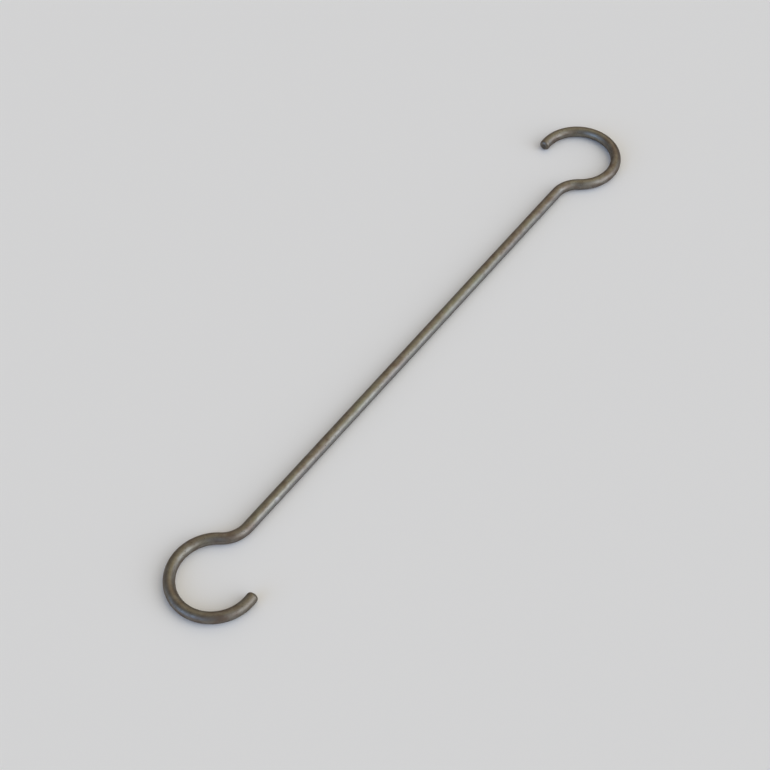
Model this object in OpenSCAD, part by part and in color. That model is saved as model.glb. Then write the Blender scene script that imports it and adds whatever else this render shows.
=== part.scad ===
// Long S hook: one length of round steel wire, cold bent in one plane.
// A straight shank runs between two reverse elbows, and each elbow leads into an open round eye.
// The two ends are alike, half a turn from each other, so the eyes open to opposite sides.
// The hook lies flat: X runs along the shank, Z is up, and the middle of the shank rests on the origin.

/* [Wire] */
// Diameter of the round wire
wire_d = 4.8; // [3:0.1:8]
// Length of the straight shank between the two elbows
shank_len = 218; // [40:1:400]

/* [Hook ends] */
// Clear diameter inside each eye
eye_d = 29.4; // [14:0.2:60]
// Angle that the eye sweeps, from the elbow round to the tip
eye_angle = 242; // [150:0.5:270]
// Bend radius on the inside of the elbow
elbow_inner_r = 9.8; // [3:0.2:24]
// Angle that the elbow turns the wire away from the shank
elbow_angle = 56.5; // [20:0.5:75]

/* [Cut tips] */
// Radius that rounds over the edge of each cut tip
tip_edge_r = 1.4; // [0.2:0.1:1.4]

/* [Hidden] */
$fn = 96;

// The wire is drawn in metres, so that its bends close tightly, and enlarged to millimetres at the end
metre = 1000;
wire_r = wire_d / 2 / metre;
shank = shank_len / metre;
// Bend radii along the middle of the wire
elbow_r = elbow_inner_r / metre + wire_r;
eye_r = eye_d / 2 / metre + wire_r;
// The cut tip: its rounded edge, and the flat disc left inside that edge
tip_r = tip_edge_r / metre;
flat_r = wire_r - tip_r;
// How far each bend and each tip laps back into the wire before it, so that they join
lap_len = 0.01;
lap = lap_len / metre;

// A straight run of wire along X, with its middle on the origin
module straight_run(length) {
    rotate([0, 90, 0])
        cylinder(h = length, r = wire_r, center = true);
}

// A bend that leaves the origin along +X, to the left for a positive turn and to the right for a negative one.
// The round section starts at its lowest point, so that the seam line of the whole wire runs underneath.
// The children are what follows the bend along the wire: they are drawn from the origin too, and moved to its end.
module bend(radius, turn) {
    left = turn > 0;
    lap_angle = lap / radius * 180 / PI;
    bend_centre = [0, left ? radius : -radius, 0];
    translate(bend_centre) {
        rotate_extrude(angle = abs(turn) + lap_angle, start = left ? -90 - lap_angle : 90 + turn)
            translate([radius, 0])
                rotate(-90)
                    circle(r = wire_r);
        rotate(turn)
            translate(-bend_centre)
                children();
    }
}

// A square-cut tip with its edge rounded over, from the origin along +X
module cut_tip() {
    rotate([0, 90, 0])
        rotate_extrude() {
            translate([0, -lap])
                square([wire_r, lap]);
            square([flat_r, tip_r]);
            translate([flat_r, 0])
                intersection() {
                    circle(r = tip_r);
                    square(tip_r);
                }
        }
}

// One end of the hook, from the origin along +X: the reverse elbow, the eye and the tip
module hook_end() {
    bend(elbow_r, -elbow_angle)
        bend(eye_r, eye_angle)
            cut_tip();
}

module s_hook() {
    color("#6f6550")
        scale(metre)
            translate([0, 0, wire_r]) {
                straight_run(shank);
                for (half_turn = [0, 180])
                    rotate(half_turn)
                        translate([shank / 2, 0, 0])
                            hook_end();
            }
}

s_hook();
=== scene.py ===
"""An S hook bent from one length of round steel wire, lying flat on a pale floor."""

import math

import bpy
import numpy as np
from mathutils import Matrix, Vector, noise


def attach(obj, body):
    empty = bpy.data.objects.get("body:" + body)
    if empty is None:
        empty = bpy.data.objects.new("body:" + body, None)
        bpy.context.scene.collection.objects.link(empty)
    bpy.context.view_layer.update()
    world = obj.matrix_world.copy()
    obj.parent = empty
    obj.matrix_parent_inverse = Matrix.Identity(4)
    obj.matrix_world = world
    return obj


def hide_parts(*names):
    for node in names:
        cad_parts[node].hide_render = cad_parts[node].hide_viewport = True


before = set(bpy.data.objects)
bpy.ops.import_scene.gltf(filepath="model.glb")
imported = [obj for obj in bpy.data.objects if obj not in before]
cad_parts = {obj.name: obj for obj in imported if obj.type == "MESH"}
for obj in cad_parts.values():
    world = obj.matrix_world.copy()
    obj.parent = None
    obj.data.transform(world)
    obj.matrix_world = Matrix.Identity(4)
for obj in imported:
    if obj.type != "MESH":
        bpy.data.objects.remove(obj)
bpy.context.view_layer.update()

# The wire and its bends, in metres, as in the part's source
NODE = "s_hook"
WIRE_R = 0.0024
SHANK_LEN = 0.218
ELBOW_INNER_R = 0.0098
ELBOW_ANGLE = math.radians(56.5)
EYE_INNER_R = 0.0147
EYE_ANGLE = math.radians(242)
TIP_EDGE_R = 0.0014

# Bend radii and lengths along the middle of the wire
HALF_SHANK = SHANK_LEN / 2
ELBOW_R = ELBOW_INNER_R + WIRE_R
EYE_R = EYE_INNER_R + WIRE_R
ELBOW_LEN = ELBOW_R * ELBOW_ANGLE
EYE_LEN = EYE_R * EYE_ANGLE
HALF_LEN = HALF_SHANK + ELBOW_LEN + EYE_LEN

# How finely the wire's surface is meshed
SIDES = 80
RINGS = 800
TIP_RINGS = 12
CAP_RINGS = 6
DENT_RINGS = 13

# Small departures of the surface from a true round, in metres:
# the waves that straightening leaves, the flats inside and outside each bend, and the grain of the cut ends
WAVE_DEPTH = 0.000015
WAVE_LEN = 0.012
ELBOW_FLAT = 0.00006
EYE_FLAT = 0.00003
CUT_DEPTH = 0.00006
CUT_GRAIN = 0.0007

# The powers that narrow a flat to the bend's sides, a dent to its middle and a cut end's grain to its face
FLAT_POWER = 4
DENT_POWER = 1.5
CUT_POWER = 4
# A flat fades out over its bend's radius divided by this
FLAT_FADE = 3

# Dents in the shank: distance from its middle, degrees round the wire from its +Y side,
# then length, width and depth. The first two are the ones that show in the photograph.
DENTS = (
    (-0.0931, 149, 0.0016, 0.0012, 0.00010),
    (-0.0794, 132, 0.0008, 0.0005, 0.00004),
    (-0.0310, 75, 0.0013, 0.0004, 0.00005),
    (0.0270, 40, 0.0009, 0.0006, 0.00005),
    (0.0640, 118, 0.0012, 0.0004, 0.00004),
    (0.0880, -20, 0.0010, 0.0007, 0.00006),
)

# The shank's -Y flank, painted grey as a painted reflection of the lit floor beside it: its two edges and
# their softness, in degrees round the wire
FLOOR_REFLECTION_SIDE = (150, 192, 14)

# The map that the materials are baked through: the straightened wire, cut into rows with a gap between them
MAP_NAME = "OFBake"
MAP_ROWS = 5
MAP_GAP = 0.0006

# Noise over the straightened wire: cells per metre along, across and up, detail, and the stretch that shows
PATCHES = ((70, 200, 200), 3, 0.38, 0.62)
STAINS = ((170, 260, 260), 3, 0.45, 0.70)
BLOTCHES = ((330, 420, 420), 4, 0.35, 0.68)
LINES = ((25, 2600, 2600), 3, 0.3, 0.7)
PITS = ((1900, 1900, 1900), 2, 0.62, 0.72)

# Colours of the wire, and the tint of what it mirrors at a grazing angle
BROWN_OXIDE = (0.160, 0.128, 0.103)
OLIVE_OXIDE = (0.200, 0.208, 0.156)
STAIN = (0.144, 0.108, 0.086)
BEND_OXIDE = (0.176, 0.128, 0.098)
BLOTCH = (0.266, 0.262, 0.236)
DRAWING_LINE = (0.148, 0.134, 0.113)
# Painted reflection: the bluish grey that the shank's -Y flank shows where it mirrors the lit floor
PAINTED_FLOOR_REFLECTION = (0.29, 0.30, 0.32)
PIT = (0.072, 0.058, 0.045)
CUT_STEEL = (0.108, 0.096, 0.084)
BARE_STEEL = (0.32, 0.315, 0.31)
EDGE_TINT = (0.3, 0.22, 0.18)

# Roughness of the wire between and on the blotches, and what pits, cut ends and bends add to it
ROUGHNESS = 0.36
BLOTCH_ROUGHNESS = 0.31
PIT_ROUGHNESS = 0.2
CUT_ROUGHNESS = 0.15
BEND_ROUGHNESS = 0.08

# The film of oil, and the relief of lines and pits
OIL_WEIGHT = 0.35
OIL_ROUGHNESS = 0.2
BUMP_STRENGTH = 0.35
BUMP_DEPTH = 0.00003
LINE_HEIGHT = 0.6
PIT_HEIGHT = -1

# Where a mix node keeps its colour sockets
MIX_FIRST = 6
MIX_SECOND = 7
MIX_RESULT = 2

# The floor
FLOOR_HALF = 40.0
FLOOR_COLOUR = (0.868, 0.868, 0.855)
FLOOR_ROUGHNESS = 0.8
FLOOR_GLOSS = 0.2

# The photograph's viewpoint, found by fitting the wire's outline
LOOK_AT = Vector((-0.0233, -0.0020, 0.0024))
AZIMUTH = math.radians(-51.244)
ELEVATION = math.radians(52.910)
ROLL = math.radians(-2.571)
DISTANCE = 0.6310
LENS = 71.86
SENSOR = 36
NEAREST = 0.01

# Directions along the floor as the photograph shows them
RIGHT = Vector((math.cos(AZIMUTH), math.sin(AZIMUTH), 0))
AWAY = Vector((-math.sin(AZIMUTH), math.cos(AZIMUTH), 0))
UP = Vector((0, 0, 1))

# The light: an even part all round, and soft glows. Each glow has degrees round from the right
# towards the far side, degrees up from the floor, and a colour.
EVEN_LIGHT = (0.306, 0.285, 0.262)
GLOWS = (
    (-18, 10, (0.95, 1.06, 1.34)),
    (-13, 36, (1.54, 1.64, 1.84)),
    (45, 62, (0.74, 0.65, 0.40)),
    (90, 35, (0.36, 0.285, 0.21)),
    (-145, 20, (0.78, 1.24, 2.15)),
    (-45, 22, (0.97, 0.98, 0.95)),
)
GLOW_FALLOFF = 10


def centreline(s):
    """Points and headings of the wire's centreline at distances s from its middle, + towards +X."""
    run = np.abs(s)
    end = np.where(s < 0, -1.0, 1.0)
    elbow = np.clip((run - HALF_SHANK) / ELBOW_R, 0, ELBOW_ANGLE)
    eye = np.clip((run - HALF_SHANK - ELBOW_LEN) / EYE_R, 0, EYE_ANGLE)
    past_tip = np.clip(run - HALF_LEN, 0, None)
    heading = eye - elbow
    x = np.minimum(run, HALF_SHANK)
    x = x + ELBOW_R * np.sin(elbow) + EYE_R * (np.sin(heading) + np.sin(elbow))
    y = ELBOW_R * (np.cos(elbow) - 1) + EYE_R * (np.cos(elbow) - np.cos(heading))
    x = x + past_tip * np.cos(heading)
    y = y + past_tip * np.sin(heading)
    return end * x, end * y, heading


def smooth(share):
    """A straight climb from 0 to 1 made smooth at both ends."""
    return share * share * (3 - 2 * share)


def window(value, low, high, soft):
    """1 between low and high, fading to 0 over soft on either side."""
    rise = np.clip((value - low) / soft + 0.5, 0, 1)
    fall = np.clip((high - value) / soft + 0.5, 0, 1)
    return smooth(rise) * smooth(fall)


def noise_at(*coordinates):
    """Smooth noise from 0 to 1 at every point of the coordinate grids."""
    grids = np.broadcast_arrays(*coordinates)
    places = np.stack([grid.ravel() for grid in grids], axis=-1)
    values = np.array([noise.noise(Vector(place)) for place in places])
    return (0.5 + 0.5 * values).reshape(grids[0].shape)


def dent(s, turn, row):
    """1 at the middle of a dent, 0 outside it."""
    at, degrees, length, width, _ = row
    around = (turn - math.radians(degrees) + math.pi) % (2 * math.pi) - math.pi
    away = ((s - at) / length) ** 2 + (WIRE_R * around / width) ** 2
    return np.clip(1 - away, 0, 1) ** DENT_POWER


def relief(s, turn):
    """How deep the surface lies below a true round at distances s and angles turn round the wire."""
    run = np.abs(s)
    on_elbow = window(run, HALF_SHANK, HALF_SHANK + ELBOW_LEN, ELBOW_R / FLAT_FADE)
    on_eye = window(run, HALF_SHANK + ELBOW_LEN, HALF_LEN, EYE_R / FLAT_FADE)
    sideways = np.abs(np.cos(turn))
    depth = (ELBOW_FLAT * on_elbow + EYE_FLAT * on_eye) * sideways ** FLAT_POWER
    depth = depth + WAVE_DEPTH * noise_at(s / WAVE_LEN, np.cos(turn), np.sin(turn))
    for row in DENTS:
        depth = depth + row[-1] * dent(s, turn, row)
    return depth


def ring_profile():
    """Distance along the wire and radius of every ring, from the -X tip to the +X tip."""
    body = np.linspace(-HALF_LEN, HALF_LEN, RINGS)
    for at, _, length, _, _ in DENTS:
        body = np.union1d(body, at + np.linspace(-length, length, DENT_RINGS))
    roll = np.linspace(0, math.pi / 2, TIP_RINGS + 1)[1:]
    edge_s = HALF_LEN + TIP_EDGE_R * np.sin(roll)
    edge_r = WIRE_R - TIP_EDGE_R * (1 - np.cos(roll))
    cap_r = edge_r[-1] * np.linspace(1, 0, CAP_RINGS + 1)[1:-1]
    tip_s = np.concatenate([edge_s, np.full(len(cap_r), edge_s[-1])])
    tip_r = np.concatenate([edge_r, cap_r])
    s = np.concatenate([-tip_s[::-1], body, tip_s])
    radius = np.concatenate([tip_r[::-1], np.full(len(body), WIRE_R), tip_r])
    return s, radius


def wire_faces(count):
    """Faces between count rings, then the fans that close both ends on two last points."""
    faces = []
    for i in range(count - 1):
        for j in range(SIDES):
            k = (j + 1) % SIDES
            faces.append((i * SIDES + j, i * SIDES + k, (i + 1) * SIDES + k, (i + 1) * SIDES + j))
    pole = count * SIDES
    last = (count - 1) * SIDES
    for j in range(SIDES):
        k = (j + 1) % SIDES
        faces.append((pole, k, j))
        faces.append((pole + 1, last + j, last + k))
    return faces


def lay_out_map(mesh, s, radius):
    """Lays the straightened wire out in rows on a UV map, at one scale.
    The corners come in the order of wire_faces."""
    steps = np.hypot(np.diff(s), np.diff(radius))
    reach = radius[0] + np.concatenate([[0], np.cumsum(steps)])
    total = reach[-1] + radius[-1]
    side = np.arange(SIDES)
    quad_along = np.stack([reach[:-1], reach[:-1], reach[1:], reach[1:]], axis=-1)
    quad_along = np.repeat(quad_along[:, None], SIDES, axis=1)
    quad_around = np.stack([side, side + 1, side + 1, side], axis=-1)
    quad_around = np.broadcast_to(quad_around, quad_along.shape)
    fan_along = [[0, reach[0], reach[0]], [total, reach[-1], reach[-1]]]
    fan_along = np.broadcast_to(fan_along, (SIDES, 2, 3))
    fan_around = np.stack([side + 0.5, side + 1, side, side + 0.5, side, side + 1], axis=-1)
    fan_around = fan_around.reshape(SIDES, 2, 3)

    row_len = total / MAP_ROWS
    girth = 2 * math.pi * WIRE_R
    row_height = girth + MAP_GAP
    scale = max(row_len + 2 * MAP_GAP, MAP_ROWS * row_height)
    corners = []
    for along, around in ((quad_along, quad_around), (fan_along, fan_around)):
        row = np.floor(along.mean(axis=-1, keepdims=True) / row_len)
        u = (along - row * row_len + MAP_GAP) / scale
        v = (around / SIDES * girth + row * row_height + MAP_GAP / 2) / scale
        corners.append(np.stack([u, v], axis=-1).reshape(-1, 2))
    layer = mesh.uv_layers.new(name=MAP_NAME)
    layer.data.foreach_set("uv", np.concatenate(corners).astype(np.float32).ravel())


def add_layer(mesh, name, kind, field, values):
    """Keeps a value for every point of the mesh, for the material to read."""
    layer = mesh.attributes.new(name, kind, "POINT")
    layer.data.foreach_set(field, np.asarray(values, dtype=np.float32).ravel())


def build_wire():
    """One closed mesh swept along the centreline. Its points keep their places on the straightened wire,
    and how far each is cut, bare, bent or painted with the floor's reflection."""
    ring_s, ring_r = ring_profile()
    turn = -math.pi / 2 + np.linspace(0, 2 * math.pi, SIDES, endpoint=False)[None, :]
    s = np.repeat(ring_s[:, None], SIDES, axis=1)
    past_edge = np.clip((WIRE_R - ring_r) / TIP_EDGE_R, 0, 1)[:, None]
    radius = ring_r[:, None] - relief(ring_s[:, None], turn) * (1 - past_edge)
    side = radius * np.cos(turn)
    up = radius * np.sin(turn)
    cut = np.repeat(past_edge ** CUT_POWER, SIDES, axis=1)
    s = s - np.sign(s) * CUT_DEPTH * cut * noise_at(side / CUT_GRAIN, up / CUT_GRAIN, np.sign(s))
    bare = dent(s, turn, DENTS[0])
    past_tips = 2 * HALF_LEN
    bent = window(np.abs(s), HALF_SHANK, past_tips, ELBOW_LEN)
    # Painted reflection: the shank's -Y flank, not the bends, is painted grey where it mirrors the lit
    # floor
    painted_reflection = window(np.degrees(turn), *FLOOR_REFLECTION_SIDE) * (1 - bent)

    x, y, heading = centreline(s)
    points = np.stack([x - np.sin(heading) * side, y + np.cos(heading) * side, WIRE_R + up], axis=-1)
    places = np.stack([s, side, up], axis=-1)
    ends = [0, -1]
    all_points = np.concatenate([points.reshape(-1, 3), points[ends].mean(axis=1)])
    all_places = np.concatenate([places.reshape(-1, 3), places[ends].mean(axis=1)])

    mesh = bpy.data.meshes.new("bent_wire")
    mesh.from_pydata(all_points.tolist(), [], wire_faces(len(points)))
    mesh.polygons.foreach_set("use_smooth", np.ones(len(mesh.polygons), dtype=bool))
    add_layer(mesh, "wire_place", "FLOAT_VECTOR", "vector", all_places)
    # Each layer of numbers: its name, its values, and its value at the two end points
    layers = (
        ("cut_end", cut, 1),
        ("bare_metal", bare, 0),
        ("bent", bent, 1),
        ("painted_reflection", painted_reflection, 0),
    )
    for name, values, at_ends in layers:
        add_layer(mesh, name, "FLOAT", "value", np.append(values.ravel(), [at_ends, at_ends]))
    lay_out_map(mesh, ring_s, ring_r)
    piece = bpy.data.objects.new("bent_wire", mesh)
    bpy.context.collection.objects.link(piece)
    return piece


def add_attribute(tree, name, output):
    """Reads one of the mesh's own layers."""
    node = tree.nodes.new("ShaderNodeAttribute")
    node.attribute_name = name
    return node.outputs[output]


def add_range(tree, value, low, high, to_low, to_high):
    """The value's stretch from low to high, carried over to another stretch."""
    mapped = tree.nodes.new("ShaderNodeMapRange")
    for name, number in (("From Min", low), ("From Max", high), ("To Min", to_low), ("To Max", to_high)):
        mapped.inputs[name].default_value = number
    tree.links.new(value, mapped.inputs["Value"])
    return mapped.outputs["Result"]


def add_noise(tree, place, cells, detail, low, high):
    """Noise over the straightened wire, with its stretch from low to high carried over to 0 to 1."""
    mapping = tree.nodes.new("ShaderNodeMapping")
    mapping.inputs["Scale"].default_value = cells
    tree.links.new(place, mapping.inputs["Vector"])
    texture = tree.nodes.new("ShaderNodeTexNoise")
    texture.inputs["Scale"].default_value = 1
    texture.inputs["Detail"].default_value = detail
    tree.links.new(mapping.outputs["Vector"], texture.inputs["Vector"])
    return add_range(tree, texture.outputs["Fac"], low, high, 0, 1)


def add_mix(tree, factor, first, second):
    """A colour between first and second; each is a colour or a socket."""
    mix = tree.nodes.new("ShaderNodeMix")
    mix.data_type = "RGBA"
    tree.links.new(factor, mix.inputs["Factor"])
    for socket, colour in ((mix.inputs[MIX_FIRST], first), (mix.inputs[MIX_SECOND], second)):
        if isinstance(colour, tuple):
            socket.default_value = (*colour, 1)
        else:
            tree.links.new(colour, socket)
    return mix.outputs[MIX_RESULT]


def add_sum(tree, first, second):
    """Two values added."""
    total = tree.nodes.new("ShaderNodeMath")
    total.operation = "ADD"
    tree.links.new(first, total.inputs[0])
    tree.links.new(second, total.inputs[1])
    return total.outputs[0]


def aged_steel():
    """Drawn steel wire gone brown, with a film of oil: patches, stains and blotches of oxide,
    drawing lines and fine pits. The bends are browner and rougher than the shank,
    one flank of the shank carries a painted reflection of the floor in grey, and the deepest dent shows
    bare metal."""
    material = bpy.data.materials.new("aged_steel")
    material.use_nodes = True
    tree = material.node_tree
    shader = tree.nodes["Principled BSDF"]
    place = add_attribute(tree, "wire_place", "Vector")
    cut = add_attribute(tree, "cut_end", "Fac")
    bare = add_attribute(tree, "bare_metal", "Fac")
    bent = add_attribute(tree, "bent", "Fac")
    painted_reflection = add_attribute(tree, "painted_reflection", "Fac")

    patches = add_noise(tree, place, *PATCHES)
    stains = add_noise(tree, place, *STAINS)
    blotches = add_noise(tree, place, *BLOTCHES)
    lines = add_noise(tree, place, *LINES)
    pits = add_noise(tree, place, *PITS)

    # Each layer of colour: where it lies, its greatest share and its colour
    layers = (
        (stains, 0.7, STAIN),
        (bent, 0.45, BEND_OXIDE),
        (blotches, 0.75, BLOTCH),
        (lines, 0.35, DRAWING_LINE),
        # painted reflection of the lit floor, on the shank's -Y flank
        (painted_reflection, 0.5, PAINTED_FLOOR_REFLECTION),
        (pits, 0.6, PIT),
        (cut, 1, CUT_STEEL),
        (bare, 1, BARE_STEEL),
    )
    colour = add_mix(tree, patches, BROWN_OXIDE, OLIVE_OXIDE)
    for mask, share, layer_colour in layers:
        colour = add_mix(tree, add_range(tree, mask, 0, 1, 0, share), colour, layer_colour)
    tree.links.new(colour, shader.inputs["Base Color"])

    shader.inputs["Metallic"].default_value = 1
    shader.inputs["Coat Weight"].default_value = OIL_WEIGHT
    shader.inputs["Coat Roughness"].default_value = OIL_ROUGHNESS
    shader.inputs["Specular Tint"].default_value = (*EDGE_TINT, 1)

    roughness = add_range(tree, blotches, 0, 1, ROUGHNESS, BLOTCH_ROUGHNESS)
    for mask, added in ((pits, PIT_ROUGHNESS), (cut, CUT_ROUGHNESS), (bent, BEND_ROUGHNESS)):
        roughness = add_sum(tree, roughness, add_range(tree, mask, 0, 1, 0, added))
    tree.links.new(roughness, shader.inputs["Roughness"])

    line_height = add_range(tree, lines, 0, 1, 0, LINE_HEIGHT)
    pit_height = add_range(tree, pits, 0, 1, 0, PIT_HEIGHT)
    bump = tree.nodes.new("ShaderNodeBump")
    bump.inputs["Strength"].default_value = BUMP_STRENGTH
    bump.inputs["Distance"].default_value = BUMP_DEPTH
    tree.links.new(add_sum(tree, line_height, pit_height), bump.inputs["Height"])
    tree.links.new(bump.outputs["Normal"], shader.inputs["Normal"])
    return material


def add_floor():
    """A plain pale floor under the hook."""
    mesh = bpy.data.meshes.new("floor")
    signs = ((-1, -1), (1, -1), (1, 1), (-1, 1))
    corners = [(x * FLOOR_HALF, y * FLOOR_HALF, 0) for x, y in signs]
    mesh.from_pydata(corners, [], [(0, 1, 2, 3)])
    floor = bpy.data.objects.new("floor", mesh)
    bpy.context.collection.objects.link(floor)
    material = bpy.data.materials.new("pale_floor")
    material.use_nodes = True
    shader = material.node_tree.nodes["Principled BSDF"]
    shader.inputs["Base Color"].default_value = (*FLOOR_COLOUR, 1)
    shader.inputs["Roughness"].default_value = FLOOR_ROUGHNESS
    shader.inputs["Specular IOR Level"].default_value = FLOOR_GLOSS
    mesh.materials.append(material)


def add_camera():
    """The photograph's camera, turned a little about the line that it looks along."""
    back = math.sin(ELEVATION) * UP - math.cos(ELEVATION) * AWAY
    up = back.cross(RIGHT)
    turned_right = math.cos(ROLL) * RIGHT + math.sin(ROLL) * up
    turned_up = math.cos(ROLL) * up - math.sin(ROLL) * RIGHT
    data = bpy.data.cameras.new("camera")
    data.lens = LENS
    data.sensor_width = SENSOR
    data.clip_start = NEAREST
    camera = bpy.data.objects.new("camera", data)
    bpy.context.collection.objects.link(camera)
    turn = Matrix((turned_right, turned_up, back)).transposed()
    camera.matrix_world = Matrix.Translation(LOOK_AT + DISTANCE * back) @ turn.to_4x4()
    bpy.context.scene.camera = camera


def add_glow(tree, colour, degrees_round, degrees_up, glow):
    """The world's colour with a soft glow added round one direction."""
    around = math.radians(degrees_round)
    rise = math.radians(degrees_up)
    along = math.cos(around) * RIGHT + math.sin(around) * AWAY
    coordinates = tree.nodes.new("ShaderNodeTexCoord")
    towards = tree.nodes.new("ShaderNodeVectorMath")
    towards.operation = "DOT_PRODUCT"
    towards.inputs[1].default_value = math.cos(rise) * along + math.sin(rise) * UP
    tree.links.new(coordinates.outputs["Generated"], towards.inputs[0])
    share = tree.nodes.new("ShaderNodeMath")
    share.operation = "POWER"
    share.inputs[1].default_value = GLOW_FALLOFF
    tree.links.new(add_range(tree, towards.outputs["Value"], 0, 1, 0, 1), share.inputs[0])
    added = add_mix(tree, share.outputs[0], colour, glow)
    added.node.blend_type = "ADD"
    return added


def add_world():
    """The even light, with every glow added to it."""
    world = bpy.data.worlds.new("world")
    world.use_nodes = True
    bpy.context.scene.world = world
    tree = world.node_tree
    colour = EVEN_LIGHT
    for glow in GLOWS:
        colour = add_glow(tree, colour, *glow)
    tree.links.new(colour, tree.nodes["Background"].inputs["Color"])


add_camera()
add_floor()
add_world()

wire = build_wire()
wire.data.materials.append(aged_steel())
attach(wire, "root")
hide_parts(NODE)

bpy.context.scene.view_settings.view_transform = "Standard"
